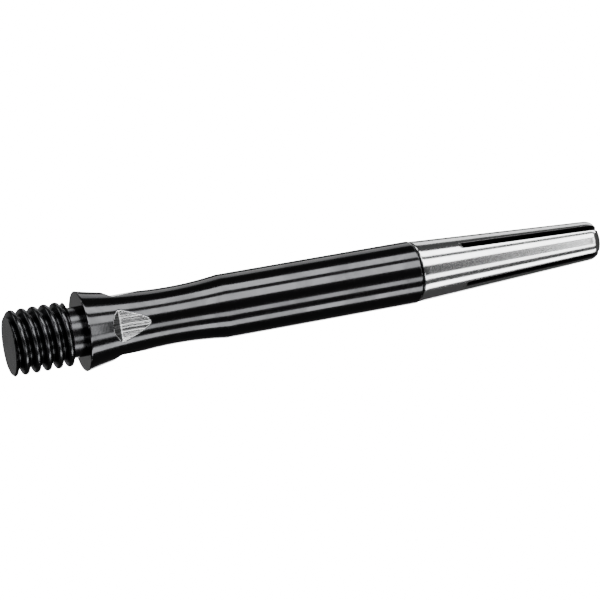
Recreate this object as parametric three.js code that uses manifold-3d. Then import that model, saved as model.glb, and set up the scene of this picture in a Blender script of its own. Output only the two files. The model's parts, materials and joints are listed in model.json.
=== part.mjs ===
// Dart shaft with a free-spinning flight top.
//
// The shaft is a turned rod: a 2BA stud that screws into a dart's barrel, a flared collar that
// seats on the barrel's end, a waist and a plain round stem. A slotted top for the flight turns
// on a headed pin that is pressed into the stem.
//
// Millimetres, +Z up. The shaft lies along X, with the stud at -X and the flight end at +X. The
// origin is on the axis, in the collar's flat seat.

import * as THREE from 'three';
import { mergeVertices } from 'three/addons/utils/BufferGeometryUtils.js';
import Module from 'manifold-3d';

const wasm = await Module();
wasm.setup();

// ---------------------------------------------------------------- driving dimensions

// Stud, with a 2BA thread
const threadDiameter = 4.7;
const threadPitch = 0.81;
const threadStart = 0.355;
const studLength = 5.25;
const studChamfer = 0.12;
const neckLength = 0.9;
const neckRelief = 0.05;

// Shaft, from the collar's seat backwards
const collarDiameter = 5.82;
const collarEdge = 0.06;
const waistDiameter = 4.15;
const waistFromSeat = 6.8;
const stemFromSeat = 10.6;
const stemDiameter = 4.68;
const stemEnd = 25.7;
const stemEdge = 0.12;

// Scoops milled into the flare: each has a steep front wall, a heel and a floor that runs out
const scoopCount = 4;
const scoopTurn = 64.6;
const scoopFromSeat = 1.85;
const scoopWallLength = 0.6;
const scoopFloorLength = 2.3;
const scoopDepth = 0.31;
const scoopHeelBlend = 0.2;

// Top that carries the flight
const topStep = 0.07;
const topTipDiameter = 3.04;
const topLand = 0.25;
const topFrontEdge = 0.1;
const topTipRun = 0.9;
const topTipDrop = 0.62;
const webThickness = 0.8;
const slotWidth = 0.45;
const slotLength = 11.53;
const slotTurn = 22;

// Headed pin that the top turns on
const pinDiameter = 1.0;
const pinHeadOverhang = 0.25;
const pinHeadThickness = 0.5;
const pinPressLength = 4.8;
const pinPointChamfer = 0.15;

// Bearing pieces
const bushWall = 0.42;
const bushLength = 1.98;
const thrustWasherDiameter = 3.0;
const thrustRecessDepth = 0.2;
const headWasherThickness = 0.15;

// Clearances: running, press and pass gaps are radial, and the others are along the axis
const runningGap = 0.03;
const pressGap = 0.006;
const headPassGap = 0.05;
const endFloat = 0.02;
const jointGap = 0.1;
const slotHeadroom = 0.13;
const blindHoleGap = 0.3;

// Stock that a blank or cutter has past the faces that it makes
const cutMargin = 0.3;

// Facets round each turned piece and round the thread, and steps along the curves
const turnedFacets = 48;
const threadFacets = 32;
const flareSteps = 12;
const curveSteps = 6;

// ---------------------------------------------------------------- radii

const threadRadius = threadDiameter / 2;
const threadRootRadius = threadRadius - 0.6 * threadPitch;
const neckRadius = threadRootRadius - neckRelief;
const collarRadius = collarDiameter / 2;
const waistRadius = waistDiameter / 2;
const stemRadius = stemDiameter / 2;
const topFrontRadius = stemRadius - topStep;
const topTipRadius = topTipDiameter / 2;
const pinRadius = pinDiameter / 2;
const pinHeadRadius = pinRadius + pinHeadOverhang;
const runningRadius = pinRadius + runningGap;
const bushRadius = runningRadius + bushWall;
const thrustWasherRadius = thrustWasherDiameter / 2;

// ---------------------------------------------------------------- places along the axis

const scoopHeel = scoopFromSeat + scoopWallLength;
const scoopBack = scoopHeel + scoopFloorLength;
const pinPoint = stemEnd - pinPressLength;
const recessFloor = stemEnd - thrustRecessDepth;
const topFront = stemEnd + jointGap;
const bushSeat = topFront + bushLength + endFloat;
const webBack = bushSeat + webThickness;
const headWasherFront = webBack + endFloat;
const pinHeadFront = headWasherFront + headWasherThickness + endFloat;
const pinHeadBack = pinHeadFront + pinHeadThickness;
const slotFloor = pinHeadBack + slotHeadroom;
const topTip = slotFloor + slotLength;

// ---------------------------------------------------------------- helpers

// Turns a closed outline about X. The outline is a path in (x, radius), drawn from the front of
// the piece along its outside to the back.
function turned(outline, facets = turnedFacets) {
  const profile = outline.getPoints(curveSteps).map((point) => new THREE.Vector2(point.y, point.x));
  return new THREE.LatheGeometry(profile, facets).rotateZ(-Math.PI / 2);
}

// A path through corner points, each given as [x, radius].
function cornered(corners) {
  return new THREE.Path(corners.map(([x, radius]) => new THREE.Vector2(x, radius)));
}

// A ring with square edges.
function ring(front, back, innerRadius, outerRadius) {
  return turned(cornered([
    [front, innerRadius],
    [front, outerRadius],
    [back, outerRadius],
    [back, innerRadius],
    [front, innerRadius],
  ]));
}

// A plug with square ends, for drilling a hole.
function plug(front, back, radius) {
  return turned(cornered([
    [front, 0],
    [front, radius],
    [back, radius],
    [back, 0],
  ]));
}

// The solid that a closed geometry bounds, for joining and cutting.
function solid(geometry) {
  const bare = geometry.clone();
  bare.deleteAttribute('normal');
  bare.deleteAttribute('uv');
  const merged = mergeVertices(bare, 1e-5);
  const corners = merged.index.array;
  const triangles = [];
  for (let i = 0; i < corners.length; i += 3) {
    const [a, b, c] = corners.slice(i, i + 3);
    if (a !== b && b !== c && c !== a) triangles.push(a, b, c);
  }
  return new wasm.Manifold(new wasm.Mesh({
    numProp: 3,
    vertProperties: new Float32Array(merged.attributes.position.array),
    triVerts: new Uint32Array(triangles),
  }));
}

// The geometry of a solid's surface.
function surface(body) {
  const mesh = body.getMesh();
  const geometry = new THREE.BufferGeometry();
  geometry.setAttribute('position', new THREE.BufferAttribute(mesh.vertProperties, 3));
  geometry.setIndex(new THREE.BufferAttribute(mesh.triVerts, 1));
  geometry.computeVertexNormals();
  return geometry;
}

function named(name, geometry, material) {
  const mesh = new THREE.Mesh(geometry, material);
  mesh.name = name;
  return mesh;
}

// ---------------------------------------------------------------- materials

function blackTitanium() {
  return new THREE.MeshStandardMaterial({ color: 0x0b0b0c, roughness: 0.24, metalness: 1 });
}

function bareAluminium() {
  return new THREE.MeshStandardMaterial({ color: 0xc9cacb, roughness: 0.28, metalness: 1 });
}

function pinSteel() {
  return new THREE.MeshStandardMaterial({ color: 0x9d9fa2, roughness: 0.3, metalness: 1 });
}

function bearingBronze() {
  return new THREE.MeshStandardMaterial({ color: 0xa5793c, roughness: 0.4, metalness: 1 });
}

function slipperyPlastic() {
  return new THREE.MeshStandardMaterial({ color: 0xe9e7df, roughness: 0.55, metalness: 0 });
}

// ---------------------------------------------------------------- thread

// The radius of the thread at each sixth of its pitch, from one crest to just before the next.
// The form has a depth of 0.6 pitch and flanks at 47.5 degrees to each other, with its crests
// and roots rounded to 2/11 pitch, which puts the ends of the flanks at sixths of the pitch.
function threadRadii() {
  const halfAngle = THREE.MathUtils.degToRad(47.5 / 2);
  const rounding = (2 / 11) * threadPitch * (1 - Math.sin(halfAngle));
  const flankTop = threadRadius - rounding;
  const flankFoot = threadRootRadius + rounding;
  return [threadRadius, flankTop, flankFoot, threadRootRadius, flankFoot, flankTop];
}

// A right-hand threaded rod along X, with a crest at its front on the +Y side. Its rows of
// vertices follow the helix, so a turn moves each row on by one pitch, and the row meets itself
// six rows later. The two ends are steps that fan in to the axis, and are cut away afterwards.
function threadedRod(front, back) {
  const radii = threadRadii();
  const rowsPerPitch = radii.length;
  const rows = Math.ceil((back - front) / threadPitch) * rowsPerPitch;
  const positions = [];
  for (let row = 0; row < rows; row += 1) {
    for (let facet = 0; facet < threadFacets; facet += 1) {
      const turn = facet / threadFacets;
      const radius = radii[row % rowsPerPitch];
      positions.push(
        front + threadPitch * (row / rowsPerPitch + turn),
        radius * Math.cos(2 * Math.PI * turn),
        radius * Math.sin(2 * Math.PI * turn),
      );
    }
  }
  const vertex = (row, facet) => (facet < threadFacets
    ? row * threadFacets + facet
    : (row + rowsPerPitch) * threadFacets);
  const triangles = [];
  for (let row = 0; row < rows - 1; row += 1) {
    const facets = row < rows - 1 - rowsPerPitch ? threadFacets : threadFacets - 1;
    for (let facet = 0; facet < facets; facet += 1) {
      const here = vertex(row, facet);
      const around = vertex(row, facet + 1);
      const along = vertex(row + 1, facet);
      const across = vertex(row + 1, facet + 1);
      triangles.push(here, around, across, here, across, along);
    }
  }

  // Each end's loop runs once round the helix and back down its step.
  const frontLoop = [];
  const backLoop = [];
  for (let facet = 0; facet < threadFacets; facet += 1) {
    frontLoop.push(vertex(0, facet));
    backLoop.push(vertex(rows - 1, facet));
  }
  for (let row = 0; row < rowsPerPitch; row += 1) {
    frontLoop.push(vertex(rowsPerPitch - row, 0));
    backLoop.push(vertex(rows - 2 - row, threadFacets - 1));
  }
  const frontCentre = positions.length / 3;
  positions.push(front + threadPitch / 2, 0, 0);
  const backCentre = frontCentre + 1;
  positions.push(front + threadPitch * (rows / rowsPerPitch + 0.5), 0, 0);
  frontLoop.forEach((corner, i) => {
    triangles.push(frontCentre, frontLoop[(i + 1) % frontLoop.length], corner);
  });
  backLoop.forEach((corner, i) => {
    triangles.push(backCentre, corner, backLoop[(i + 1) % backLoop.length]);
  });

  const geometry = new THREE.BufferGeometry();
  geometry.setAttribute('position', new THREE.Float32BufferAttribute(positions, 3));
  geometry.setIndex(triangles);
  return geometry;
}

// The stud as far as the neck: the threaded rod cut to length, with its end chamfered.
function stud() {
  const rodFront = threadStart - studLength - 2 * threadPitch;
  const rodBack = 2 * threadPitch - neckLength;
  const blank = turned(cornered([
    [-studLength, 0],
    [-studLength, threadRadius - studChamfer],
    [cutMargin + studChamfer - studLength, threadRadius + cutMargin],
    [-neckLength, threadRadius + cutMargin],
    [-neckLength, 0],
  ]), threadFacets);
  return solid(threadedRod(rodFront, rodBack)).intersect(solid(blank));
}

// ---------------------------------------------------------------- shaft

// The flare is a parabola from the collar's rim to the waist.
function flareRadius(x) {
  const toWaist = 1 - x / waistFromSeat;
  return waistRadius + (collarRadius - waistRadius) * toWaist * toWaist;
}

// The shaft's outside, from inside the stud's last turn to the stem's back face.
function shaftOutline() {
  const rampMiddle = (waistFromSeat + stemFromSeat) / 2;
  const outline = cornered([
    [-neckLength - threadPitch, 0],
    [-neckLength - threadPitch, neckRadius],
    [0, neckRadius],
    [0, flareRadius(0) - collarEdge],
  ]);
  for (let step = 0; step < flareSteps; step += 1) {
    const x = collarEdge + (waistFromSeat - collarEdge) * (step / flareSteps);
    outline.lineTo(x, flareRadius(x));
  }
  return outline
    .lineTo(waistFromSeat, waistRadius)
    .quadraticCurveTo(rampMiddle, waistRadius, stemFromSeat, stemRadius)
    .lineTo(stemEnd - stemEdge, stemRadius)
    .lineTo(stemEnd, stemRadius - stemEdge)
    .lineTo(stemEnd, 0);
}

// One scoop's cutter, a prism across the shaft whose underside is the scoop's wall, heel and
// floor. Both ends of the underside run on past the flare's surface.
function scoopCutter(turn) {
  const front = new THREE.Vector2(scoopFromSeat, flareRadius(scoopFromSeat));
  const heel = new THREE.Vector2(scoopHeel, flareRadius(scoopHeel) - scoopDepth);
  const back = new THREE.Vector2(scoopBack, flareRadius(scoopBack));
  const towards = (point, distance) => point.clone().sub(heel).setLength(distance).add(heel);
  const wallTop = towards(front, heel.distanceTo(front) + cutMargin);
  const floorEnd = towards(back, heel.distanceTo(back) + cutMargin);
  const blendStart = towards(front, scoopHeelBlend);
  const blendEnd = towards(back, scoopHeelBlend);
  const clear = collarRadius + cutMargin;
  const outline = new THREE.Shape()
    .moveTo(wallTop.x, clear)
    .lineTo(wallTop.x, wallTop.y)
    .lineTo(blendStart.x, blendStart.y)
    .quadraticCurveTo(heel.x, heel.y, blendEnd.x, blendEnd.y)
    .lineTo(floorEnd.x, floorEnd.y)
    .lineTo(floorEnd.x, clear);
  const prism = new THREE.ExtrudeGeometry(outline, {
    depth: 2 * clear,
    bevelEnabled: false,
    curveSegments: curveSteps,
  });
  prism.translate(0, 0, -clear);
  prism.rotateX(THREE.MathUtils.degToRad(turn));
  return solid(prism);
}

function shaftBody() {
  const pinHole = plug(pinPoint - blindHoleGap, stemEnd + cutMargin, pinRadius + pressGap);
  const recess = plug(recessFloor, stemEnd + cutMargin, thrustWasherRadius + runningGap);
  let body = solid(turned(shaftOutline()))
    .add(stud())
    .subtract(solid(pinHole))
    .subtract(solid(recess));
  for (let scoop = 0; scoop < scoopCount; scoop += 1) {
    body = body.subtract(scoopCutter(scoopTurn + (360 * scoop) / scoopCount));
  }
  return named('shaft_body', surface(body), blackTitanium());
}

// ---------------------------------------------------------------- pin and its washers

function axlePin() {
  const outline = cornered([
    [pinPoint, 0],
    [pinPoint, pinRadius - pinPointChamfer],
    [pinPoint + pinPointChamfer, pinRadius],
    [pinHeadFront, pinRadius],
    [pinHeadFront, pinHeadRadius],
    [pinHeadBack, pinHeadRadius],
    [pinHeadBack, 0],
  ]);
  return named('axle_pin', turned(outline), pinSteel());
}

// The washer fills its recess in the stem and holds the top off by the joint's gap.
function thrustWasher() {
  const geometry = ring(recessFloor, topFront - endFloat, runningRadius, thrustWasherRadius);
  return named('thrust_washer', geometry, slipperyPlastic());
}

function headWasher() {
  const back = headWasherFront + headWasherThickness;
  const geometry = ring(headWasherFront, back, runningRadius, pinHeadRadius);
  return named('head_washer', geometry, slipperyPlastic());
}

// ---------------------------------------------------------------- top

// The top's outside, a short land and then a straight taper to a rounded tip.
function topOutline() {
  return cornered([
    [topFront, 0],
    [topFront, topFrontRadius - topFrontEdge],
    [topFront + topFrontEdge, topFrontRadius],
    [topFront + topLand, topFrontRadius],
    [topTip - topTipRun, topTipRadius],
  ])
    .quadraticCurveTo(topTip, topTipRadius, topTip, topTipRadius - topTipDrop)
    .lineTo(topTip, 0);
}

// Two crossed plates that cut the four slots, open at the tip.
function slotCutters() {
  const length = slotLength + cutMargin;
  const span = 2 * (topFrontRadius + cutMargin);
  return [slotTurn, slotTurn + 90].map((turn) => {
    const plate = new THREE.BoxGeometry(length, slotWidth, span);
    plate.rotateX(THREE.MathUtils.degToRad(turn));
    plate.translate(slotFloor + length / 2, 0, 0);
    return solid(plate);
  });
}

function spinningTop() {
  const bushBore = plug(topFront - cutMargin, bushSeat, bushRadius + pressGap);
  const webHole = plug(topFront, topTip, runningRadius + runningGap);
  const tailBore = plug(webBack, topTip + cutMargin, pinHeadRadius + headPassGap);
  const [firstSlot, secondSlot] = slotCutters();
  const body = solid(turned(topOutline()))
    .subtract(solid(bushBore))
    .subtract(solid(webHole))
    .subtract(solid(tailBore))
    .subtract(firstSlot)
    .subtract(secondSlot);
  return named('spinning_top', surface(body), bareAluminium());
}

function pivotBush() {
  const geometry = ring(topFront, topFront + bushLength, runningRadius, bushRadius);
  return named('pivot_bush', geometry, bearingBronze());
}

// ---------------------------------------------------------------- assembly

const shaft = new THREE.Group();
shaft.add(shaftBody(), axlePin(), thrustWasher());

const top = new THREE.Group();
top.add(spinningTop(), pivotBush(), headWasher());

const dartShaft = new THREE.Group();
dartShaft.add(shaft, top);

export default dartShaft;
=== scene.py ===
"""Visual model of the dart shaft: a coated stud and stem, and a bare slotted flight top."""

import json
import math

import bpy
import numpy as np
from mathutils import Matrix, Vector

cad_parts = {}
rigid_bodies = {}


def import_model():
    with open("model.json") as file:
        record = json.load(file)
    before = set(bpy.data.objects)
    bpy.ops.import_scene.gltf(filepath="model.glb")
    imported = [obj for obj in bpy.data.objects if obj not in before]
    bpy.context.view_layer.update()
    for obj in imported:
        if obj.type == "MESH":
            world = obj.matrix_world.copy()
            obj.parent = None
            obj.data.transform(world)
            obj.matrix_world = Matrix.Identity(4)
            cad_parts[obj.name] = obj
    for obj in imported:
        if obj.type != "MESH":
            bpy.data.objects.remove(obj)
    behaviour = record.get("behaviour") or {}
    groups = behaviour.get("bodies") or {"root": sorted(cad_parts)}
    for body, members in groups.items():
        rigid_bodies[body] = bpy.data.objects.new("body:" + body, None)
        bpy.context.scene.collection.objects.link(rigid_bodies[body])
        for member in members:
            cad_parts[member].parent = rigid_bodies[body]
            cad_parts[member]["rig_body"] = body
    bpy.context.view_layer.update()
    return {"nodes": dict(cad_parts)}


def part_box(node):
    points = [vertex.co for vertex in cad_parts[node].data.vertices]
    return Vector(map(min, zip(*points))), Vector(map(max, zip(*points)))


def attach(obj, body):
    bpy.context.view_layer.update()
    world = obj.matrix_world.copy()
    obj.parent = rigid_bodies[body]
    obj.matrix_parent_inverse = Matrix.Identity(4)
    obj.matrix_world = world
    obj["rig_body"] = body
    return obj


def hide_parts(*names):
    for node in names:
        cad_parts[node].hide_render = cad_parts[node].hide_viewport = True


bl_info = {
    "name": "Dart Shaft",
    "version": (1, 0, 0),
    "blender": (4, 5, 0),
    "location": "View3D > Sidebar > Dart Shaft",
    "description": "Builds a dart shaft with a spinning flight top around its CAD frame",
    "category": "Object",
}

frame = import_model()

MM = 0.001
SHAFT_LOW, SHAFT_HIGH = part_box("shaft_body")
TOP_LOW, TOP_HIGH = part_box("spinning_top")
PIN_LOW, PIN_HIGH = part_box("axle_pin")
BUSH_LOW, BUSH_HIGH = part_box("pivot_bush")
THRUST_LOW, THRUST_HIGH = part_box("thrust_washer")
HEAD_LOW, HEAD_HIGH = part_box("head_washer")

# The thread's form: its angle in degrees, and the rest as shares of its pitch
THREAD_ANGLE = 47.5
THREAD_DEPTH = 0.6
CREST_ROUNDING = 0.272
ROOT_ROUNDING = 0.092

# Places on the shaft and its thread, in metres from the collar's seat
CREST_AT = SHAFT_LOW.x + 0.355 * MM
NECK_FRONT = -0.9 * MM
NECK_RELIEF = 0.05 * MM
STUD_INTO_COLLAR = 0.03 * MM
WAIST_AT = 6.8 * MM
STEM_AT = 10.6 * MM
SCOOP_AT = 1.85 * MM
SCOOP_WALL = 0.6 * MM
SCOOP_FLOOR = 2.3 * MM
SCOOP_HEEL = 0.2 * MM
SCOOP_OVERRUN = 0.4 * MM
SCOOP_ANGLES = [math.radians(154.6 + 90 * quarter) for quarter in range(4)]

# Bores and the pin
PIN_RADIUS = 0.5 * MM
PIN_HOLE_RADIUS = 0.506 * MM
PIN_HOLE_FRONT = PIN_LOW.x - 0.3 * MM
RUNNING_RADIUS = 0.53 * MM
BUSH_BORE_RADIUS = 0.956 * MM
RECESS_RADIUS = 1.53 * MM
RECESS_FLOOR = SHAFT_HIGH.x - 0.2 * MM
BUSH_SEAT = 27.8 * MM
WEB_BACK = 28.6 * MM
WEB_HOLE_RADIUS = 0.56 * MM
TAIL_BORE_RADIUS = 0.8 * MM

# The flight top's outside and slots
TOP_LAND = 0.25 * MM
TOP_CHAMFER = 0.1 * MM
TIP_RUN = 0.9 * MM
TIP_DROP = 0.62 * MM
SLOT_FLOOR = 29.42 * MM
SLOT_ANGLES = [math.radians(22 + 90 * quarter) for quarter in range(4)]


# ---------------------------------------------------------------- settings


def metres(name, description, default, least=0.0):
    """A length, shown with enough digits for parts of a millimetre."""
    return bpy.props.FloatProperty(
        name=name, description=description, default=default, min=least,
        unit="LENGTH", subtype="DISTANCE", precision=5,
    )


class ShaftSizes(bpy.types.PropertyGroup):
    thread_diameter: metres(
        "Thread Diameter", "Across the crests of the stud's thread", 4.7 * MM, 1 * MM,
    )
    thread_pitch: metres(
        "Thread Pitch", "Distance that one turn of the thread moves on", 0.81 * MM, 0.2 * MM,
    )
    stud_chamfer: metres(
        "Stud Chamfer", "Edge broken off at the stud's front end", 0.12 * MM,
    )
    collar_diameter: metres(
        "Collar Diameter", "Across the flare, if it ran on to the seat", 5.82 * MM, 1 * MM,
    )
    waist_diameter: metres(
        "Waist Diameter", "Across the thinnest place behind the flare", 4.15 * MM, 1 * MM,
    )
    stem_diameter: metres(
        "Stem Diameter", "Across the plain round stem", 4.68 * MM, 1 * MM,
    )
    scoop_depth: metres(
        "Scoop Depth", "How far the scoops' heels lie below the flare", 0.31 * MM,
    )
    tip_diameter: metres(
        "Tip Diameter", "Across the back end of the flight top", 3.04 * MM, 1 * MM,
    )
    slot_width: metres(
        "Slot Width", "Width of the slots that hold the flight", 0.45 * MM, 0.1 * MM,
    )


def colour(name, description, default):
    return bpy.props.FloatVectorProperty(
        name=name, description=description, default=default, subtype="COLOR", size=3,
        min=0, max=1,
    )


class FinishSettings(bpy.types.PropertyGroup):
    coating_colour: colour("Coating Colour", "Black titanium coating", (0.125, 0.126, 0.13))
    bare_colour: colour(
        "Bare Colour", "Metal where the coating is milled or worn away", (0.74, 0.745, 0.75),
    )
    aluminium_colour: colour(
        "Aluminium Colour", "Bare turned aluminium of the flight top", (0.78, 0.785, 0.79),
    )
    wear: bpy.props.FloatProperty(
        name="Wear", description="How far the coating has rubbed off the edges",
        default=0.35, min=0, max=1, subtype="FACTOR",
    )


class StageSettings(bpy.types.PropertyGroup):
    floor_drop: metres(
        "Floor Drop", "Distance from the shaft's axis down to the floor", 0.03, 0.003,
    )
    light_distance: metres(
        "Light Distance", "Distance from the shaft's axis to the softboxes", 0.35, 0.05,
    )
    brightness: bpy.props.FloatProperty(
        name="Brightness", description="Strength of the softboxes", default=1.0, min=0,
    )
    lens: bpy.props.FloatProperty(
        name="Lens", description="Focal length of the camera", default=138.85, min=20,
        unit="CAMERA",
    )


# ---------------------------------------------------------------- node helpers


class Wiring:
    """Adds nodes to a tree and joins them."""

    def __init__(self, tree):
        self.tree = tree
        tree.nodes.clear()

    def add(self, kind, values=None, **settings):
        node = self.tree.nodes.new(kind)
        for name, value in settings.items():
            setattr(node, name, value)
        for name, value in (values or {}).items():
            self.feed(node.inputs[name], value)
        return node

    def feed(self, socket, value):
        if isinstance(value, bpy.types.NodeSocket):
            self.tree.links.new(value, socket)
        else:
            socket.default_value = value

    def math(self, operation, *values):
        node = self.add("ShaderNodeMath", operation=operation)
        for socket, value in zip(node.inputs, values):
            self.feed(socket, value)
        return node.outputs[0]

    def plus(self, first, second):
        return self.math("ADD", first, second)

    def minus(self, first, second):
        return self.math("SUBTRACT", first, second)

    def times(self, first, second):
        return self.math("MULTIPLY", first, second)

    def over(self, first, second):
        return self.math("DIVIDE", first, second)

    def noise(self, values, **settings):
        return self.add("ShaderNodeTexNoise", values, **settings).outputs["Fac"]

    def stored(self, name):
        """A number that the mesh stores per point."""
        return self.add("ShaderNodeAttribute", attribute_name=name).outputs["Fac"]

    def ramp(self, value, low, high, to_low=0.0, to_high=1.0):
        node = self.add("ShaderNodeMapRange", interpolation_type="SMOOTHSTEP")
        for name, setting in (
            ("Value", value), ("From Min", low), ("From Max", high),
            ("To Min", to_low), ("To Max", to_high),
        ):
            self.feed(node.inputs[name], setting)
        return node.outputs["Result"]

    def mix(self, factor, first, second):
        node = self.add("ShaderNodeMix", data_type="RGBA")
        self.feed(node.inputs[0], factor)
        self.feed(node.inputs[6], first)
        self.feed(node.inputs[7], second)
        return node.outputs[2]


def new_group(name, inputs, outputs):
    """A shader node group with float sockets. Returns its wiring, inputs and output node."""
    tree = bpy.data.node_groups.new(name, "ShaderNodeTree")
    for label, default in inputs:
        socket = tree.interface.new_socket(label, in_out="INPUT", socket_type="NodeSocketFloat")
        socket.default_value = default
    for label in outputs:
        tree.interface.new_socket(label, in_out="OUTPUT", socket_type="NodeSocketFloat")
    wiring = Wiring(tree)
    source = wiring.add("NodeGroupInput")
    sink = wiring.add("NodeGroupOutput")
    return wiring, source.outputs, sink


def object_place(wiring):
    """The object coordinates, their X and their distance from the axis."""
    place = wiring.add("ShaderNodeTexCoord").outputs["Object"]
    split = wiring.add("ShaderNodeSeparateXYZ", {"Vector": place}).outputs
    across = wiring.times(split["Y"], split["Y"])
    up = wiring.times(split["Z"], split["Z"])
    return place, split["X"], wiring.math("SQRT", wiring.plus(across, up))


def turning_marks():
    """Lines that a lathe tool leaves: along the work on its sides, in rings on its ends."""
    wiring, given, sink = new_group(
        "turning_marks", [("Pitch", 0.09 * MM), ("Unevenness", 0.5)], ["Height", "Tone"]
    )
    _, along, out = object_place(wiring)
    travel = wiring.over(wiring.plus(along, out), given["Pitch"])
    drift = wiring.noise(
        {"W": wiring.times(travel, 0.23), "Scale": 1.0, "Detail": 3.0}, noise_dimensions="1D",
    )
    fine = wiring.noise(
        {"W": wiring.times(travel, 1.7), "Scale": 1.0, "Detail": 2.0}, noise_dimensions="1D",
    )
    wave = wiring.math("SINE", wiring.times(travel, 2 * math.pi))
    ridge = wiring.math("MULTIPLY_ADD", wave, 0.5, 0.5)
    uneven = wiring.times(wiring.minus(fine, 0.5), given["Unevenness"])
    wiring.feed(sink.inputs["Height"], wiring.plus(wiring.times(ridge, drift), uneven))
    wiring.feed(sink.inputs["Tone"], wiring.plus(drift, uneven))
    return wiring.tree


def cutter_lines():
    """Lines that a milling cutter leaves along the scoops. They run along X, side by side."""
    wiring, given, sink = new_group("cutter_lines", [("Pitch", 0.19 * MM)], ["Height", "Tone"])
    place, _, out = object_place(wiring)
    split = wiring.add("ShaderNodeSeparateXYZ", {"Vector": place}).outputs
    around = wiring.math("ARCTAN2", split["Z"], split["Y"])
    quarter = wiring.over(wiring.minus(around, SCOOP_ANGLES[0]), math.pi / 2)
    off_centre = wiring.minus(quarter, wiring.math("ROUND", quarter))
    sideways = wiring.times(out, wiring.math("SINE", wiring.times(off_centre, math.pi / 2)))
    wander = wiring.noise({"Vector": place, "Scale": 900.0, "Detail": 2.0})
    step = wiring.plus(wiring.over(sideways, given["Pitch"]), wiring.times(wander, 0.9))
    streaks = wiring.noise({"W": step, "Scale": 1.4, "Detail": 2.0}, noise_dimensions="1D")
    wiring.feed(sink.inputs["Height"], streaks)
    wiring.feed(sink.inputs["Tone"], wiring.ramp(streaks, 0.38, 0.6))
    return wiring.tree


def edge_wear():
    """A mask that is 1 where an edge is rubbed. It reads the mesh's edge attribute."""
    wiring, given, sink = new_group(
        "edge_wear", [("Amount", 0.35), ("Scale", 2600.0)], ["Mask"]
    )
    place, _, _ = object_place(wiring)
    patches = wiring.noise(
        {"Vector": place, "Scale": given["Scale"], "Detail": 4.0, "Roughness": 0.6},
    )
    reach = wiring.plus(wiring.times(wiring.stored("edge"), given["Amount"]), patches)
    wiring.feed(sink.inputs["Mask"], wiring.ramp(reach, 0.82, 1.02))
    return wiring.tree


def fine_grain():
    """Small irregularities of a worked metal surface, with larger smudges from handling."""
    wiring, given, sink = new_group(
        "fine_grain", [("Grain Scale", 9000.0), ("Smudge Scale", 420.0)], ["Height", "Smudge"]
    )
    place, _, _ = object_place(wiring)
    grain = wiring.noise({"Vector": place, "Scale": given["Grain Scale"], "Detail": 5.0})
    smudge = wiring.noise({
        "Vector": place, "Scale": given["Smudge Scale"], "Detail": 4.0, "Distortion": 0.6,
    })
    wiring.feed(sink.inputs["Height"], grain)
    wiring.feed(sink.inputs["Smudge"], wiring.ramp(smudge, 0.35, 0.7))
    return wiring.tree


def placed(wiring, make, **values):
    """Places a node group in a material with its own values. It is made the first time."""
    tree = bpy.data.node_groups.get(make.__name__) or make()
    node = wiring.add("ShaderNodeGroup", node_tree=tree)
    for name, value in values.items():
        wiring.feed(node.inputs[name.replace("_", " ")], value)
    return node.outputs


def new_material(name):
    material = bpy.data.materials.new(name)
    material.use_nodes = True
    wiring = Wiring(material.node_tree)
    shader = wiring.add("ShaderNodeBsdfPrincipled")
    output = wiring.add("ShaderNodeOutputMaterial")
    wiring.feed(output.inputs["Surface"], shader.outputs["BSDF"])
    return material, wiring, shader.inputs


def bumped(wiring, height, distance):
    node = wiring.add("ShaderNodeBump", {
        "Height": height, "Strength": 1.0, "Distance": distance,
    })
    return node.outputs["Normal"]


def tinted(colour, share=1.0):
    """A colour with an alpha, darker or brighter by a share."""
    return (*[min(1, part * share) for part in colour], 1)


# ---------------------------------------------------------------- materials


def black_titanium(name):
    """Glossy black coating, bare and bright in the scoops and rubbed thin on the edges."""
    finish = bpy.context.scene.shaft_finish
    material, wiring, shader = new_material(name)
    lines = placed(wiring, turning_marks, Pitch=0.085 * MM, Unevenness=0.6)
    feed_lines = placed(wiring, cutter_lines, Pitch=0.19 * MM)
    grain = placed(wiring, fine_grain)
    worn = placed(wiring, edge_wear, Amount=finish.wear)["Mask"]
    milled = wiring.stored("bare")
    bare = wiring.math("MAXIMUM", milled, wiring.times(worn, 0.7))
    smudge = grain["Smudge"]
    coating = wiring.mix(
        smudge, tinted(finish.coating_colour), tinted(finish.coating_colour, 0.82),
    )
    metal = wiring.mix(
        feed_lines["Tone"], tinted(finish.bare_colour, 0.55), tinted(finish.bare_colour),
    )
    wiring.feed(shader["Base Color"], wiring.mix(bare, coating, metal))
    shader["Metallic"].default_value = 1.0

    # Roughness: the coating is glossy, and duller on the stud and where it is worn or milled
    gloss = wiring.math("MULTIPLY_ADD", smudge, 0.03, 0.115)
    gloss = wiring.math("MULTIPLY_ADD", lines["Tone"], 0.03, gloss)
    gloss = wiring.math("MULTIPLY_ADD", worn, 0.12, gloss)
    _, along, _ = object_place(wiring)
    on_stud = wiring.ramp(along, -0.5 * MM, 0, 1.0, 0.0)
    gloss = wiring.math("MULTIPLY_ADD", on_stud, 0.12, gloss)
    wiring.feed(shader["Roughness"], wiring.math("MULTIPLY_ADD", milled, 0.08, gloss))

    # Height: tool lines, fainter from the waist back, and deep cutter lines in the scoops
    on_flare = wiring.ramp(along, 3.5 * MM, 8 * MM, 1.0, 0.3)
    coat_height = wiring.times(lines["Height"], on_flare)
    milled_height = wiring.times(feed_lines["Height"], 40.0)
    height = wiring.add("ShaderNodeMix", {"Factor": milled, "A": coat_height, "B": milled_height})
    total = wiring.math("MULTIPLY_ADD", grain["Height"], 0.25, height.outputs[0])
    wiring.feed(shader["Normal"], bumped(wiring, total, 0.0009 * MM))
    return material


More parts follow.
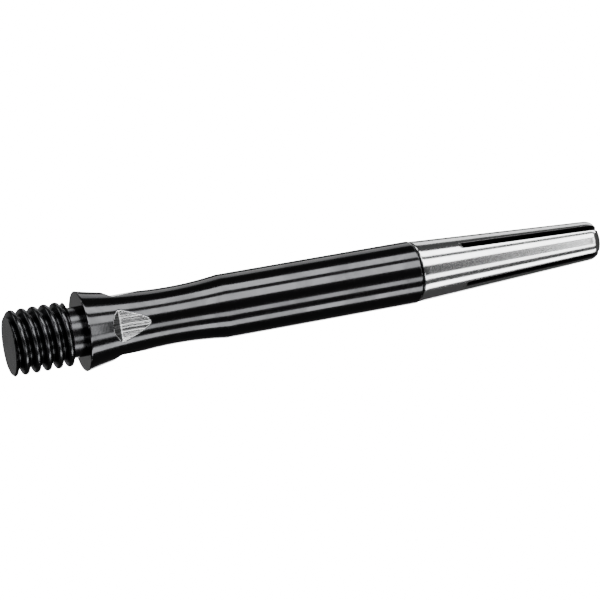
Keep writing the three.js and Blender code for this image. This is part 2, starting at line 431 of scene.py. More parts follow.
def bare_aluminium(name):
    """Bright turned aluminium with fine tool lines and burnished rims, and painted shade that
    darkens its slots and the bores at its back.
    """
    finish = bpy.context.scene.shaft_finish
    material, wiring, shader = new_material(name)
    lines = placed(wiring, turning_marks, Pitch=0.06 * MM, Unevenness=0.7)
    grain = placed(wiring, fine_grain, Grain_Scale=12000.0, Smudge_Scale=520.0)
    burnished = placed(wiring, edge_wear, Amount=0.3)["Mask"]
    shade = wiring.math(
        "MULTIPLY_ADD", grain["Smudge"], 0.35, wiring.times(lines["Tone"], 0.4),
    )
    colour = wiring.mix(
        shade, tinted(finish.aluminium_colour), tinted(finish.aluminium_colour, 0.8),
    )
    # Painted shade: points marked inside (slot walls and floors, the slots' edges and the back
    # bores) take a near-black colour
    inside = wiring.stored("inside")
    colour = wiring.mix(burnished, colour, tinted(finish.aluminium_colour, 1.1))
    wiring.feed(shader["Base Color"], wiring.mix(inside, colour, (0.09, 0.09, 0.092, 1)))
    shader["Metallic"].default_value = 1.0
    gloss = wiring.math("MULTIPLY_ADD", shade, 0.05, 0.125)
    wiring.feed(shader["Roughness"], wiring.math("MULTIPLY_ADD", inside, 0.35, gloss))
    total = wiring.math("MULTIPLY_ADD", grain["Height"], 0.3, lines["Height"])
    wiring.feed(shader["Normal"], bumped(wiring, total, 0.00035 * MM))
    return material


def plain_metal(name, colour, dark, roughness, pitch):
    """A small turned piece's metal: lathe lines, grain and a darker film in places."""
    material, wiring, shader = new_material(name)
    lines = placed(wiring, turning_marks, Pitch=pitch, Unevenness=0.5)
    grain = placed(wiring, fine_grain, Grain_Scale=14000.0, Smudge_Scale=900.0)
    shade = wiring.math(
        "MULTIPLY_ADD", grain["Smudge"], 0.6, wiring.times(lines["Tone"], 0.3),
    )
    wiring.feed(shader["Base Color"], wiring.mix(shade, tinted(colour), tinted(dark)))
    shader["Metallic"].default_value = 1.0
    wiring.feed(shader["Roughness"], wiring.math("MULTIPLY_ADD", shade, 0.12, roughness))
    total = wiring.math("MULTIPLY_ADD", grain["Height"], 0.3, lines["Height"])
    wiring.feed(shader["Normal"], bumped(wiring, total, 0.0006 * MM))
    return material


def pin_steel(name):
    return plain_metal(name, (0.56, 0.57, 0.58), (0.42, 0.43, 0.44), 0.2, 0.05 * MM)


def bush_bronze(name):
    return plain_metal(name, (0.62, 0.42, 0.2), (0.38, 0.24, 0.11), 0.3, 0.07 * MM)


def washer_plastic(name):
    """Dark slippery plastic with a faint mottle."""
    material, wiring, shader = new_material(name)
    grain = placed(wiring, fine_grain, Grain_Scale=16000.0, Smudge_Scale=1500.0)
    smudge = grain["Smudge"]
    wiring.feed(shader["Base Color"], wiring.mix(
        smudge, (0.035, 0.035, 0.037, 1), (0.055, 0.055, 0.057, 1),
    ))
    wiring.feed(shader["Roughness"], wiring.math("MULTIPLY_ADD", smudge, 0.12, 0.42))
    wiring.feed(shader["Normal"], bumped(wiring, grain["Height"], 0.001 * MM))
    return material


FINISHES = {
    "black_titanium": black_titanium, "bare_aluminium": bare_aluminium,
    "pin_steel": pin_steel, "bush_bronze": bush_bronze, "washer_plastic": washer_plastic,
}


def finish_of(slot):
    """A slot's material. It is made the first time."""
    name = slot + "_finish"
    return bpy.data.materials.get(name) or FINISHES[slot](name)


# ---------------------------------------------------------------- mesh helpers


def marked(mesh, name, values):
    """Stores a number per point, which the finishes read."""
    attribute = mesh.attributes.new(name, "FLOAT", "POINT")
    attribute.data.foreach_set("value", np.array(values, np.float32))


def new_mesh(name, places, faces, **marks):
    mesh = bpy.data.meshes.new(name)
    mesh.from_pydata(places, [], faces)
    for mark, values in marks.items():
        marked(mesh, mark, values)
    mesh.validate()
    return mesh


def bridge(near, far):
    """Faces between two closed loops of points. A corner that comes twice is left out."""
    faces = []
    for j in range(len(near)):
        after = (j + 1) % len(near)
        faces.append(list(dict.fromkeys([near[j], near[after], far[after], far[j]])))
    return faces


def evaluated_mesh(context, blank):
    """The mesh that a blank's modifiers make. The blank itself is removed."""
    context.view_layer.update()
    mesh = bpy.data.meshes.new_from_object(
        blank.evaluated_get(context.evaluated_depsgraph_get())
    )
    blank.modifiers.clear()
    bpy.data.objects.remove(blank)
    return mesh


def finished(name, mesh, body, node, slot):
    """Links a mesh as a piece that stands for a CAD node and rides on its body."""
    mesh.polygons.foreach_set("use_smooth", [True] * len(mesh.polygons))
    mesh.set_sharp_from_angle(angle=math.radians(32))
    piece = bpy.data.objects.new(name, mesh)
    bpy.context.scene.collection.objects.link(piece)
    if not mesh.materials:
        mesh.materials.append(finish_of(slot))
    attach(piece, body)
    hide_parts(node)


def arc(centre_x, centre_radius, radius, start, end, steps):
    """Points of an arc in (x, radius). Angles are in degrees from +X towards +radius."""
    points = []
    for step in range(steps + 1):
        angle = math.radians(start + (end - start) * step / steps)
        points.append((
            centre_x + radius * math.cos(angle), centre_radius + radius * math.sin(angle),
        ))
    return points


def turned_mesh(name, outline, columns, cut=None):
    """Turns an outline about X into a closed mesh.

    outline is a list of (x, radius, edge), from the axis at the front, along the outside, to the
    axis at the back. edge marks the corners that rub. cut takes places and angles and gives the
    radius that milling leaves there.
    """
    coating_depth = 0.008 * MM
    angles = np.arange(columns) * (2 * math.pi / columns)
    places, edges, bares, faces, rings = [], [], [], [], []
    for x, radius, edge in outline:
        if radius == 0:
            rings.append([len(places)] * columns)
            places.append((x, 0, 0))
            edges.append(edge)
            bares.append(0)
            continue
        radii = np.full(columns, radius)
        if cut is not None:
            radii = np.minimum(radii, cut(x, angles))
        rings.append(list(range(len(places), len(places) + columns)))
        places.extend(zip([x] * columns, radii * np.cos(angles), radii * np.sin(angles)))
        edges.extend([edge] * columns)
        bares.extend(np.clip((radius - radii) / coating_depth, 0, 1))
    for near, far in zip(rings, rings[1:]):
        faces += bridge(near, far)
    return new_mesh(name, places, faces, edge=edges, bare=bares)


def ring_mesh(name, front, back, inner, outer, edge, columns=96):
    """A washer or bush: an outline with rounded rims turned about X, closed on itself."""
    points = [((front + back) / 2, inner), (front + edge, inner), (front, inner + edge)]
    points += arc(front + edge, outer - edge, edge, 180, 90, 4)
    points += arc(back - edge, outer - edge, edge, 90, 0, 4)
    points += [(back, inner + edge), (back - edge, inner)]
    angles = np.arange(columns) * (2 * math.pi / columns)
    places, rings, faces = [], [], []
    for x, radius in points:
        rings.append(range(len(places), len(places) + columns))
        places.extend(zip([x] * columns, radius * np.cos(angles), radius * np.sin(angles)))
    for near, far in zip(rings, rings[1:] + rings[:1]):
        faces += bridge(near, far)
    return new_mesh(name, places, faces, edge=np.zeros(len(places)))


# ---------------------------------------------------------------- threaded stud


def thread_tree():
    """Geometry nodes for a threaded rod: a fine grid wrapped round X, with its radius given by
    the rounded thread form, the end chamfer and the neck."""
    name = "helical_thread"
    if name in bpy.data.node_groups:
        return bpy.data.node_groups[name]
    tree = bpy.data.node_groups.new(name, "GeometryNodeTree")
    tree.interface.new_socket("Geometry", in_out="OUTPUT", socket_type="NodeSocketGeometry")
    for label in (
        "Front", "Neck Front", "Back", "Pitch", "Crest At", "Crest Radius", "Neck Radius",
        "Chamfer",
    ):
        tree.interface.new_socket(label, in_out="INPUT", socket_type="NodeSocketFloat")
    for label in ("Rows", "Face Rows", "Columns"):
        tree.interface.new_socket(label, in_out="INPUT", socket_type="NodeSocketInt")
    tree.interface.new_socket("Material", in_out="INPUT", socket_type="NodeSocketMaterial")
    wiring = Wiring(tree)
    math_of = wiring.math
    plus, minus, times, over = wiring.plus, wiring.minus, wiring.times, wiring.over
    given = wiring.add("NodeGroupInput").outputs
    pitch, crest_radius = given["Pitch"], given["Crest Radius"]
    grid = wiring.add("GeometryNodeMeshGrid", {
        "Size X": 1.0, "Size Y": 1.0, "Vertices X": given["Rows"],
        "Vertices Y": plus(given["Columns"], 1),
    })
    split = wiring.add("ShaderNodeSeparateXYZ", {
        "Vector": wiring.add("GeometryNodeInputPosition").outputs[0],
    }).outputs
    last_row = minus(given["Rows"], 1)
    row = math_of("ROUND", times(plus(split["X"], 0.5), last_row))
    turn = plus(split["Y"], 0.5)

    # Along the rod: the first rows lie on the end face, and the last one closes the back
    side_rows = minus(minus(last_row, given["Face Rows"]), 1)
    side_row = math_of("MAXIMUM", minus(row, given["Face Rows"]), 0)
    length = minus(given["Back"], given["Front"])
    along = plus(given["Front"], times(over(side_row, side_rows), length))
    along = math_of("MINIMUM", along, given["Back"])
    spread = math_of("MINIMUM", over(row, given["Face Rows"]), 1)
    spread = times(spread, math_of("LESS_THAN", row, last_row))

    # Thread form, by the distance along the rod to the nearest crest
    turns = minus(over(minus(along, given["Crest At"]), pitch), turn)
    off_crest = times(math_of("ABSOLUTE", minus(turns, math_of("ROUND", turns))), pitch)
    off_root = minus(times(pitch, 0.5), off_crest)
    half_angle = math.radians(THREAD_ANGLE / 2)
    crest_round = times(pitch, CREST_ROUNDING)
    root_round = times(pitch, ROOT_ROUNDING)
    drop = times(crest_round, 1 - math.sin(half_angle))
    crest_width = times(crest_round, math.cos(half_angle))
    root_width = times(root_round, math.cos(half_angle))
    root_radius = minus(crest_radius, times(pitch, THREAD_DEPTH))

    def bulge(rounding, distance):
        inside = minus(times(rounding, rounding), times(distance, distance))
        return minus(rounding, math_of("SQRT", math_of("MAXIMUM", inside, 0)))

    def choose(condition, when_true, otherwise):
        return math_of("MULTIPLY_ADD", minus(when_true, otherwise), condition, otherwise)

    crest = minus(crest_radius, bulge(crest_round, off_crest))
    root = plus(root_radius, bulge(root_round, off_root))
    down_flank = over(minus(off_crest, crest_width), math.tan(half_angle))
    flank = minus(minus(crest_radius, drop), down_flank)
    on_crest = math_of("LESS_THAN", off_crest, crest_width)
    on_root = math_of("LESS_THAN", off_root, root_width)
    radius = choose(on_crest, crest, choose(on_root, root, flank))
    from_front = minus(along, given["Front"])
    chamfer = plus(minus(crest_radius, given["Chamfer"]), from_front)
    radius = math_of("MINIMUM", radius, chamfer)
    in_neck = math_of("GREATER_THAN", along, plus(given["Neck Front"], 1e-6))
    radius = times(choose(in_neck, given["Neck Radius"], radius), spread)

    angle = times(turn, 2 * math.pi)
    place = wiring.add("ShaderNodeCombineXYZ", {
        "X": along,
        "Y": times(radius, math_of("COSINE", angle)),
        "Z": times(radius, math_of("SINE", angle)),
    }).outputs[0]

    # Crests and the front rim rub
    near_crest = minus(1, over(off_crest, crest_width))
    rub = times(times(math_of("MAXIMUM", near_crest, 0), 0.8), minus(1, in_neck))
    edged = wiring.add("GeometryNodeStoreNamedAttribute", {
        "Geometry": grid.outputs["Mesh"], "Name": "edge", "Value": rub,
    }, data_type="FLOAT", domain="POINT")
    wrapped = wiring.add("GeometryNodeSetPosition", {
        "Geometry": edged.outputs[0], "Position": place,
    })
    joined = wiring.add("GeometryNodeMergeByDistance", {
        "Geometry": wrapped.outputs[0], "Distance": 1e-7,
    })
    outward = wiring.add("GeometryNodeFlipFaces", {"Mesh": joined.outputs[0]})
    real = wiring.add("GeometryNodeRealizeInstances", {"Geometry": outward.outputs[0]})
    coated = wiring.add("GeometryNodeSetMaterial", {
        "Geometry": real.outputs[0], "Material": given["Material"],
    })
    wiring.add("NodeGroupOutput", {"Geometry": coated.outputs[0]})
    return tree


class SHAFT_OT_threaded_stud(bpy.types.Operator):
    """Make the threaded stud and its neck"""

    bl_idname = "dart_shaft.threaded_stud"
    bl_label = "Threaded Stud"

    def execute(self, context):
        sizes = context.scene.shaft_sizes
        tree = thread_tree()
        blank = bpy.data.objects.new("stud_blank", bpy.data.meshes.new("stud_blank"))
        context.scene.collection.objects.link(blank)
        modifier = blank.modifiers.new("thread", "NODES")
        modifier.node_group = tree
        root_radius = sizes.thread_diameter / 2 - THREAD_DEPTH * sizes.thread_pitch
        values = {
            "Front": SHAFT_LOW.x, "Neck Front": NECK_FRONT, "Back": STUD_INTO_COLLAR,
            "Pitch": sizes.thread_pitch, "Crest At": CREST_AT,
            "Crest Radius": sizes.thread_diameter / 2, "Neck Radius": root_radius - NECK_RELIEF,
            "Chamfer": sizes.stud_chamfer, "Rows": 384, "Face Rows": 30, "Columns": 160,
            "Material": finish_of("black_titanium"),
        }
        for item in tree.interface.items_tree:
            if item.in_out == "INPUT":
                modifier[item.identifier] = values[item.name]
        mesh = evaluated_mesh(context, blank)
        if not mesh.polygons:
            raise RuntimeError("the thread tree made no faces")
        marked(mesh, "bare", np.zeros(len(mesh.vertices)))
        finished("threaded_stud", mesh, "shaft", "shaft_body", "black_titanium")
        return {"FINISHED"}


# ---------------------------------------------------------------- waisted stem


def flare_radius(sizes, x):
    """The flare is a parabola from the collar's rim to the waist."""
    waist = sizes.waist_diameter / 2
    to_waist = 1 - x / WAIST_AT
    return waist + (sizes.collar_diameter / 2 - waist) * to_waist ** 2


def scoop_heights(sizes):
    """The scoop's wall, heel and floor as points in (x, height above the axis)."""
    front = Vector((SCOOP_AT, flare_radius(sizes, SCOOP_AT)))
    heel_x = SCOOP_AT + SCOOP_WALL
    heel = Vector((heel_x, flare_radius(sizes, heel_x) - sizes.scoop_depth))
    back_x = heel_x + SCOOP_FLOOR
    back = Vector((back_x, flare_radius(sizes, back_x)))
    to_front = (front - heel).normalized()
    to_back = (back - heel).normalized()
    start = heel + to_front * SCOOP_HEEL
    end = heel + to_back * SCOOP_HEEL
    points = [front + to_front * SCOOP_OVERRUN]
    for step in range(13):
        t = step / 12
        points.append(start * (1 - t) ** 2 + heel * 2 * t * (1 - t) + end * t * t)
    points.append(back + to_back * SCOOP_OVERRUN)
    return np.array([point[0] for point in points]), np.array([point[1] for point in points])


def scoop_cut(sizes):
    """Gives a function of a place and of angles, for the radius that the scoops leave there."""
    lengths, heights = scoop_heights(sizes)
    least_facing = 0.3

    def scooped(x, angles):
        left = np.full(len(angles), np.inf)
        if not lengths[0] < x < lengths[-1]:
            return left
        height = np.interp(x, lengths, heights)
        for centre in SCOOP_ANGLES:
            facing = np.cos(angles - centre)
            reach = height / np.maximum(facing, least_facing)
            left = np.minimum(left, np.where(facing > least_facing, reach, np.inf))
        return left

    return scooped


def stem_outline(sizes):
    """The stem's outline: the seat, the flare, the waist, the stem and the bores at its back."""
    stem = sizes.stem_diameter / 2
    waist = sizes.waist_diameter / 2
    back = SHAFT_HIGH.x
    edge = 0.06 * MM
    rim = flare_radius(sizes, edge)
    outline = [(0, radius, 0) for radius in (0, 1.0 * MM, 2.0 * MM, 2.6 * MM)]
    outline += [(x, radius, 1) for x, radius in arc(edge, rim - edge, edge, 180, 102, 6)]
    for x, rub in ((0.12 * MM, 0.5), (0.25 * MM, 0)):
        outline.append((x, flare_radius(sizes, x), rub))

    # The rows are close together where the scoops are
    stations = list(np.arange(0.45, 1.75, 0.13) * MM)
    stations += list(np.arange(1.76, 5.0, 0.03) * MM)
    stations += list(np.arange(5.05, 6.8, 0.15) * MM)
    outline += [(x, flare_radius(sizes, x), 0) for x in stations]
    for step in range(25):
        t = step / 24
        outline.append((
            WAIST_AT + (STEM_AT - WAIST_AT) * t, waist + (stem - waist) * t * t, 0,
        ))
    outline += [(x, stem, 0) for x in np.linspace(STEM_AT, back, 32)[1:-1]]
    outline.append((back - 0.16 * MM, stem, 0.4))
    round_off = 0.11 * MM
    outline += [(x, radius, 1) for x, radius in arc(
        back - round_off, stem - round_off, round_off, 90, 0, 6,
    )]

    # The recess for the thrust washer, and the pin's hole
    lip = 0.03 * MM
    outline += [(back, 1.9 * MM, 0), (back, RECESS_RADIUS + lip, 0.5)]
    outline += [(back - lip, RECESS_RADIUS, 0.5), (RECESS_FLOOR, RECESS_RADIUS, 0)]
    outline += [(RECESS_FLOOR, 1.0 * MM, 0), (RECESS_FLOOR, PIN_HOLE_RADIUS, 0)]
    outline += [(PIN_HOLE_FRONT, PIN_HOLE_RADIUS, 0), (PIN_HOLE_FRONT, 0, 0)]
    return outline


class SHAFT_OT_waisted_stem(bpy.types.Operator):
    """Make the flared collar, waist and stem, with its scoops and the recess at its back"""

    bl_idname = "dart_shaft.waisted_stem"
    bl_label = "Waisted Stem"

    def execute(self, context):
        sizes = context.scene.shaft_sizes
        mesh = turned_mesh("waisted_stem", stem_outline(sizes), 240, scoop_cut(sizes))
        finished("waisted_stem", mesh, "shaft", "shaft_body", "black_titanium")
        return {"FINISHED"}


# ---------------------------------------------------------------- flight top


# Columns across a prong's outside, across a slot, and down a slot's wall
ARC_STEPS, SLOT_STEPS, WALL_STEPS = 30, 4, 4


class SlottedTop:
    """The flight top as one closed mesh: a turned front with its bores, and four prongs."""

    def __init__(self, sizes):
        self.half_slot = sizes.slot_width / 2
        self.tip_radius = sizes.tip_diameter / 2
        self.front_radius = max(TOP_HIGH.y, TOP_HIGH.z)
        self.places, self.edges, self.insides, self.faces = [], [], [], []

    def radius_at(self, x):
        land_end = TOP_LOW.x + TOP_LAND
        round_start = TOP_HIGH.x - TIP_RUN
        if x <= land_end:
            return self.front_radius
        share = (min(x, round_start) - land_end) / (round_start - land_end)
        radius = self.front_radius + (self.tip_radius - self.front_radius) * share
        if x > round_start:
            t = 1 - math.sqrt(max(0, (TOP_HIGH.x - x) / TIP_RUN))
            radius -= TIP_DROP * t * t
        return radius

    def point(self, place, edge, inside):
        self.places.append(place)
        self.edges.append(edge)
        self.insides.append(inside)
        return len(self.places) - 1

    def turned_point(self, x, radius, angle, edge=0.0):
        place = (x, radius * math.cos(angle), radius * math.sin(angle))
        # Points in the bores at the back are marked for painted shade
        return self.point(place, edge, 1.0 if radius <= TAIL_BORE_RADIUS else 0.0)

    def slot_angle(self, radius):
        """Half the angle that a slot takes up at a radius."""
        return math.asin(self.half_slot / radius)

    def ring_angles(self, radius):
        """Angles of a ring's points, with a point on each slot's edge at this radius."""
        clear = self.slot_angle(radius)
        angles = []
        for slot in SLOT_ANGLES:
            for step in range(ARC_STEPS):
                share = (math.pi / 2 - 2 * clear) * step / ARC_STEPS
                angles.append(slot + clear + share)
            for step in range(SLOT_STEPS):
                angles.append(slot + math.pi / 2 - clear + 2 * clear * step / SLOT_STEPS)
        return angles

    def ring(self, x, radius, angles, edge=0.0):
        return [self.turned_point(x, radius, angle, edge) for angle in angles]

    def bridge_all(self, loops):
        for near, far in zip(loops, loops[1:]):
            self.faces += bridge(near, far)

    def turned_front(self):
        """Bores from the slots' floor forwards, the front face, and the outside back to the
        floor. Returns the first ring and the last one."""
        front = TOP_LOW.x
        land_end = front + TOP_LAND
        inner = self.ring_angles(TAIL_BORE_RADIUS)
        outer = self.ring_angles(self.radius_at(SLOT_FLOOR))
        rings = [self.ring(x, radius, inner) for x, radius in (
            (SLOT_FLOOR, TAIL_BORE_RADIUS), (WEB_BACK, TAIL_BORE_RADIUS),
            (WEB_BACK, WEB_HOLE_RADIUS), (BUSH_SEAT, WEB_HOLE_RADIUS),
            (BUSH_SEAT, BUSH_BORE_RADIUS), (front, BUSH_BORE_RADIUS),
        )]
        rings += [self.ring(x, radius, outer, edge) for x, radius, edge in (
            (front, 1.5 * MM, 0), (front, self.front_radius - TOP_CHAMFER, 1),
            (front + TOP_CHAMFER, self.front_radius, 1), (land_end, self.front_radius, 0),
        )]
        for step in range(1, 13):
            x = land_end + (SLOT_FLOOR - land_end) * step / 12
            rings.append(self.ring(x, self.radius_at(x), outer))
        self.bridge_all(rings)
        return rings[0], rings[-1]

    def wall_point(self, x, start, side, step):
        """A point on a slot's wall, between the outside and the bore."""
        outer_radius = self.radius_at(x)
        outer_reach = outer_radius * math.cos(self.slot_angle(outer_radius))
        inner_reach = TAIL_BORE_RADIUS * math.cos(self.slot_angle(TAIL_BORE_RADIUS))
        reach = outer_reach + (inner_reach - outer_reach) * step / WALL_STEPS
        turn = start if side > 0 else start + math.pi / 2
        away = side * self.half_slot
        place = (
            x, reach * math.cos(turn) - away * math.sin(turn),
            reach * math.sin(turn) + away * math.cos(turn),
        )
        # Slot walls are marked for painted shade
        return self.point(place, 0.0, 1.0)

    def prong_loop(self, x, index, bore=None, outer=None):
        """The loop of one prong's section: outside, far wall, bore, near wall. At the slots'
        floor it takes its points from the rings that are there already."""
        start = SLOT_ANGLES[index]
        first = index * (ARC_STEPS + SLOT_STEPS)
        at_tip = x >= TOP_HIGH.x - 1e-9

        def across(radius, step, given, edge):
            if given:
                return given[(first + step) % len(given)]
            clear = self.slot_angle(radius)
            share = (math.pi / 2 - 2 * clear) * step / ARC_STEPS
            return self.turned_point(x, radius, start + clear + share, edge)

        loop = []
        for step in range(ARC_STEPS + 1):
            loop.append(across(self.radius_at(x), step, outer, 1.0 if at_tip else 0.0))
            # The outside's points on the slots' edges are marked for painted shade too
            if step in (0, ARC_STEPS):
                self.insides[loop[-1]] = 1.0
        for step in range(1, WALL_STEPS):
            loop.append(self.wall_point(x, start, -1, step))
        for step in range(ARC_STEPS, -1, -1):
            loop.append(across(TAIL_BORE_RADIUS, step, bore, 0.0))
        for step in range(WALL_STEPS - 1, 0, -1):
            loop.append(self.wall_point(x, start, 1, step))
        return loop

    def prongs(self, bore, outer):
        """The four prongs. Returns their loops at the slots' floor."""
        round_start = TOP_HIGH.x - TIP_RUN
        stations = list(np.linspace(SLOT_FLOOR, round_start, 40)[1:])
        stations += [TOP_HIGH.x - TIP_RUN * (1 - t) ** 2 for t in np.linspace(0, 1, 15)[1:]]
        first_loops = []
        for index in range(4):
            loops = [self.prong_loop(SLOT_FLOOR, index, bore, outer)]
            loops += [self.prong_loop(x, index) for x in stations]
            first_loops.append(loops[0])
            self.bridge_all(loops)
            self.faces.append(loops[-1])
        return first_loops

    def slot_floors(self, bore, outer, first_loops):
        """The floors of the slots, between one prong and the next."""
        count = len(outer)
        for index in range(4):
            here = first_loops[index]
            beyond = first_loops[(index + 1) % 4]
            last = index * (ARC_STEPS + SLOT_STEPS) + ARC_STEPS
            floor = [outer[(last + step) % count] for step in range(SLOT_STEPS + 1)]
            floor += beyond[:-WALL_STEPS:-1]
            floor += [bore[(last + step) % count] for step in range(SLOT_STEPS, -1, -1)]
            far_wall = here[ARC_STEPS + 1:ARC_STEPS + WALL_STEPS]
            floor += far_wall[::-1]
            self.faces.append(floor)

    def mesh(self):
        bore, outer = self.turned_front()
        self.slot_floors(bore, outer, self.prongs(bore, outer))
        return new_mesh(
            "spinning_top", self.places, self.faces, edge=self.edges, inside=self.insides,
        )


class SHAFT_OT_flight_top(bpy.types.Operator):
    """Make the slotted top that holds the flight"""

    bl_idname = "dart_shaft.flight_top"
    bl_label = "Flight Top"

    def execute(self, context):
        mesh = SlottedTop(context.scene.shaft_sizes).mesh()
        blank = bpy.data.objects.new("top_blank", mesh)
        context.scene.collection.objects.link(blank)
        bevel = blank.modifiers.new("broken_edges", "BEVEL")
        bevel.width = 0.012 * MM
        bevel.segments = 2
        bevel.limit_method = "ANGLE"
        bevel.angle_limit = math.radians(35)
        bevel.use_clamp_overlap = True
        mesh = evaluated_mesh(context, blank)
        finished("flight_top", mesh, "top", "spinning_top", "bare_aluminium")
        return {"FINISHED"}


# ---------------------------------------------------------------- pivot pieces


def frame_body(node):
    """The CAD body that a node rides on."""
    return frame["nodes"][node]["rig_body"]


def pin_outline():
    """The headed pin: a chamfered shank, a small fillet under the head and a domed head."""
    chamfer, fillet, under, dome = 0.15 * MM, 0.02 * MM, 0.05 * MM, 0.12 * MM
    head = max(PIN_HIGH.y, PIN_HIGH.z)
    head_front = PIN_HIGH.x - 0.5 * MM
    outline = [(PIN_LOW.x, 0), (PIN_LOW.x, PIN_RADIUS - chamfer)]
    outline += [(PIN_LOW.x + chamfer, PIN_RADIUS), (head_front - fillet, PIN_RADIUS)]
    outline += [(head_front, PIN_RADIUS + 0.015 * MM), (head_front, head - under)]
    outline += arc(head_front + under, head - under, under, 180, 90, 4)
    outline += arc(PIN_HIGH.x - dome, head - dome, dome, 90, 10, 6)
    outline += [(PIN_HIGH.x, head - 0.25 * MM), (PIN_HIGH.x, 0)]
    return [(x, radius, 0) for x, radius in outline]


class SHAFT_OT_pivot(bpy.types.Operator):
    """Make the headed pin, the bush and the two washers that the top turns on"""

    bl_idname = "dart_shaft.pivot"
    bl_label = "Pin, Bush and Washers"

    def execute(self, context):
        mesh = turned_mesh("axle_pin_turned", pin_outline(), 96)
        finished("axle_pin_turned", mesh, frame_body("axle_pin"), "axle_pin", "pin_steel")
        for node, ending, low, high, edge, slot in (
            ("pivot_bush", "_turned", BUSH_LOW, BUSH_HIGH, 0.04, "bush_bronze"),
            ("thrust_washer", "_moulded", THRUST_LOW, THRUST_HIGH, 0.03, "washer_plastic"),
            ("head_washer", "_moulded", HEAD_LOW, HEAD_HIGH, 0.02, "washer_plastic"),
        ):
            name = node + ending
            mesh = ring_mesh(name, low.x, high.x, RUNNING_RADIUS, high.y, edge * MM)
            finished(name, mesh, frame_body(node), node, slot)
        return {"FINISHED"}


# ---------------------------------------------------------------- stage

# Brightness of the room and its floor, to the eye and in reflections
ROOM_GLOW = 4.0
ROOM_REFLECTED = 0.1


def hung(name, light, placement):
    """Hangs a light where the camera doesn't see it."""
    box = bpy.data.objects.new(name, light)
    box.matrix_world = placement
    box.visible_camera = False
    bpy.context.scene.collection.objects.link(box)


def softbox(settings, name, low, high, front, back, radiance):
    """A long softbox beside the shaft. low and high are its edges in degrees round the axis,
    from level with the front up over the top. front and back are its ends along X."""
    distance = settings.light_distance
    middle = math.radians((low + high) / 2)
    width = 2 * distance * math.tan(math.radians(high - low) / 2)
    light = bpy.data.lights.new(name, "AREA")
    light.shape = "RECTANGLE"
    light.size = back - front
    light.size_y = width
    light.energy = radiance * settings.brightness * light.size * width * math.pi
    outward = Vector((0, -math.cos(middle), math.sin(middle)))
    along = Vector((1, 0, 0))
    turned = Matrix((along, outward.cross(along), outward)).transposed().to_4x4()
    place = outward * distance + along * (front + back) / 2
    hung(name, light, Matrix.Translation(place) @ turned)


def panel(settings, name, direction, size, radiance):
    """A square softbox that faces the shaft from one direction."""
    outward = Vector(direction).normalized()
    light = bpy.data.lights.new(name, "AREA")
    light.shape = "SQUARE"
    light.size = size
    light.energy = radiance * settings.brightness * size * size * math.pi
    turned = outward.to_track_quat("Z", "Y").to_matrix().to_4x4()
    hung(name, light, Matrix.Translation(outward * settings.light_distance) @ turned)


def set_floor(settings):
    """A pale floor that only the camera sees, and only from above."""
    reach = 3.0
    mesh = bpy.data.meshes.new("floor")
    mesh.from_pydata(
        [(-reach, -reach, 0), (reach, -reach, 0), (reach, reach, 0), (-reach, reach, 0)],
        [], [(0, 1, 2, 3)],
    )
    mesh.transform(Matrix.Translation((0, 0, -settings.floor_drop)))
    floor = bpy.data.objects.new("floor", mesh)
    bpy.context.scene.collection.objects.link(floor)
    pale, wiring, shader = new_material("pale_floor")
    shader["Base Color"].default_value = (0.92, 0.92, 0.92, 1)
    shader["Roughness"].default_value = 0.9
    shader["Specular IOR Level"].default_value = 0.0
    shader["Emission Color"].default_value = (1, 1, 1, 1)
    seen = wiring.add("ShaderNodeLightPath").outputs["Is Camera Ray"]
    wiring.feed(shader["Emission Strength"], wiring.math("MULTIPLY", seen, ROOM_GLOW))
    below = wiring.add("ShaderNodeNewGeometry").outputs["Backfacing"]
    wiring.feed(shader["Alpha"], wiring.math("SUBTRACT", 1.0, below))
    mesh.materials.append(pale)
    floor.visible_diffuse = False
    floor.visible_glossy = False
    floor.visible_shadow = False


def set_room(scene):
    """A room that is bright to the eye and dim in the metal's reflections."""
    world = bpy.data.worlds.new("studio")
    scene.world = world
    world.use_nodes = True
    world.cycles.sampling_method = "NONE"
    wiring = Wiring(world.node_tree)
    seen = wiring.add("ShaderNodeLightPath").outputs["Is Camera Ray"]
    strength = wiring.math("MULTIPLY_ADD", seen, ROOM_GLOW, ROOM_REFLECTED)
    room = wiring.add("ShaderNodeBackground", {"Color": (1, 1, 1, 1), "Strength": strength})
    out = wiring.add("ShaderNodeOutputWorld")
    wiring.feed(out.inputs["Surface"], room.outputs[0])


def set_lights(settings):
    """Strips along the shaft, a dim fill between two of them and a panel off its stud end."""
    front, middle, back = -0.06, 0.34, 0.6
    tail_front, tail_back = -0.6, -0.2
    for strip in (
        ("rim_strip", 143, 169, front, back, 0.9),
        ("top_strip", 81, 104, front, back, 2.8),
        ("upper_strip", 44, 68, front, middle, 2.8),
        ("level_strip", -9, 6, front, middle, 2.3),
        ("lower_strip", -50, -31, front, middle, 2.8),
        ("back_low_strip", 190, 206, 0.04, back, 1.5),
        ("back_lower_strip", 222, 238, 0.04, back, 1.5),
        ("tail_top_strip", 74, 104, tail_front, tail_back, 1.2),
        ("tail_upper_strip", 44, 62, tail_front, tail_back, 1.2),
        ("tail_level_strip", -12, 12, tail_front, tail_back, 1.2),
        ("tail_rim_strip", 130, 160, tail_front, tail_back, 1.2),
        ("fill_near", 9, 40, 0.185, 0.22, 0.03),
        ("fill_middle", 9, 40, 0.22, 0.24, 0.06),
        ("fill_far", 9, 40, 0.24, 0.264, 0.16),
        ("fill_end", 9, 40, 0.264, middle, 2.4),
    ):
        softbox(settings, *strip)
    panel(settings, "end_panel", (-0.32, 0.83, -0.46), 0.25, 0.19)


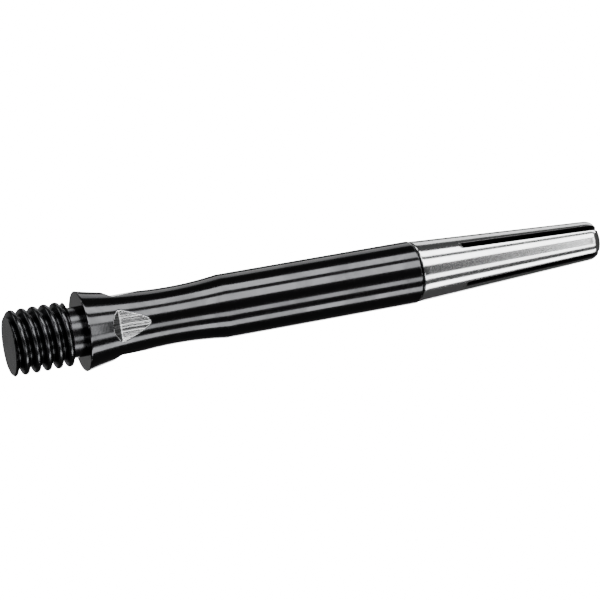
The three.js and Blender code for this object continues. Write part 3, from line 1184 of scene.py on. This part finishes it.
def set_camera(scene, settings):
    """A camera in front of the stud's end of the shaft and above it."""
    azimuth, elevation = math.radians(-21.15), math.radians(27.7)
    distance, middle = 170.27, Vector((17.8 * MM, 0, 0))
    right = Vector((math.cos(azimuth), math.sin(azimuth), 0))
    level = Vector((math.sin(azimuth), -math.cos(azimuth), 0))
    outward = level * math.cos(elevation) + Vector((0, 0, math.sin(elevation)))
    up = outward.cross(right)
    aim = middle - right * 0.9455 * MM - up * 0.75 * MM
    camera = bpy.data.cameras.new("camera")
    camera.lens = settings.lens
    camera.sensor_width = 36
    camera.clip_start = 0.005
    camera.clip_end = 20
    viewer = bpy.data.objects.new("camera", camera)
    turned = Matrix((right, up, outward)).transposed().to_4x4()
    viewer.matrix_world = Matrix.Translation(aim + outward * distance * MM) @ turned
    scene.collection.objects.link(viewer)
    scene.camera = viewer


class SHAFT_OT_stage(bpy.types.Operator):
    """Set the floor, the studio lights and the camera"""

    bl_idname = "dart_shaft.stage"
    bl_label = "Stage"

    def execute(self, context):
        scene = context.scene
        settings = scene.shaft_stage
        scene.view_settings.view_transform = "AgX"
        scene.view_settings.look = "AgX - High Contrast"
        set_floor(settings)
        set_room(scene)
        set_lights(settings)
        set_camera(scene, settings)
        return {"FINISHED"}


# ---------------------------------------------------------------- panel and registration


class SHAFT_PT_sidebar(bpy.types.Panel):
    bl_label = "Dart Shaft"
    bl_idname = "SHAFT_PT_sidebar"
    bl_space_type = "VIEW_3D"
    bl_region_type = "UI"
    bl_category = "Dart Shaft"

    def draw(self, context):
        for settings in (
            context.scene.shaft_sizes, context.scene.shaft_finish, context.scene.shaft_stage,
        ):
            box = self.layout.box()
            for name in settings.bl_rna.properties.keys():
                if name not in ("rna_type", "name"):
                    box.prop(settings, name)
        for operator in OPERATORS:
            self.layout.operator(operator.bl_idname)


SETTINGS = (ShaftSizes, FinishSettings, StageSettings)
OPERATORS = (
    SHAFT_OT_threaded_stud, SHAFT_OT_waisted_stem, SHAFT_OT_flight_top, SHAFT_OT_pivot,
    SHAFT_OT_stage,
)


def register():
    for item in (*SETTINGS, *OPERATORS, SHAFT_PT_sidebar):
        bpy.utils.register_class(item)
    bpy.types.Scene.shaft_sizes = bpy.props.PointerProperty(type=ShaftSizes)
    bpy.types.Scene.shaft_finish = bpy.props.PointerProperty(type=FinishSettings)
    bpy.types.Scene.shaft_stage = bpy.props.PointerProperty(type=StageSettings)


def unregister():
    del bpy.types.Scene.shaft_stage
    del bpy.types.Scene.shaft_finish
    del bpy.types.Scene.shaft_sizes
    for item in reversed((*SETTINGS, *OPERATORS, SHAFT_PT_sidebar)):
        bpy.utils.unregister_class(item)


def main():
    register()
    bpy.ops.dart_shaft.threaded_stud()
    bpy.ops.dart_shaft.waisted_stem()
    bpy.ops.dart_shaft.flight_top()
    bpy.ops.dart_shaft.pivot()
    bpy.ops.dart_shaft.stage()


if __name__ == "__main__":
    main()
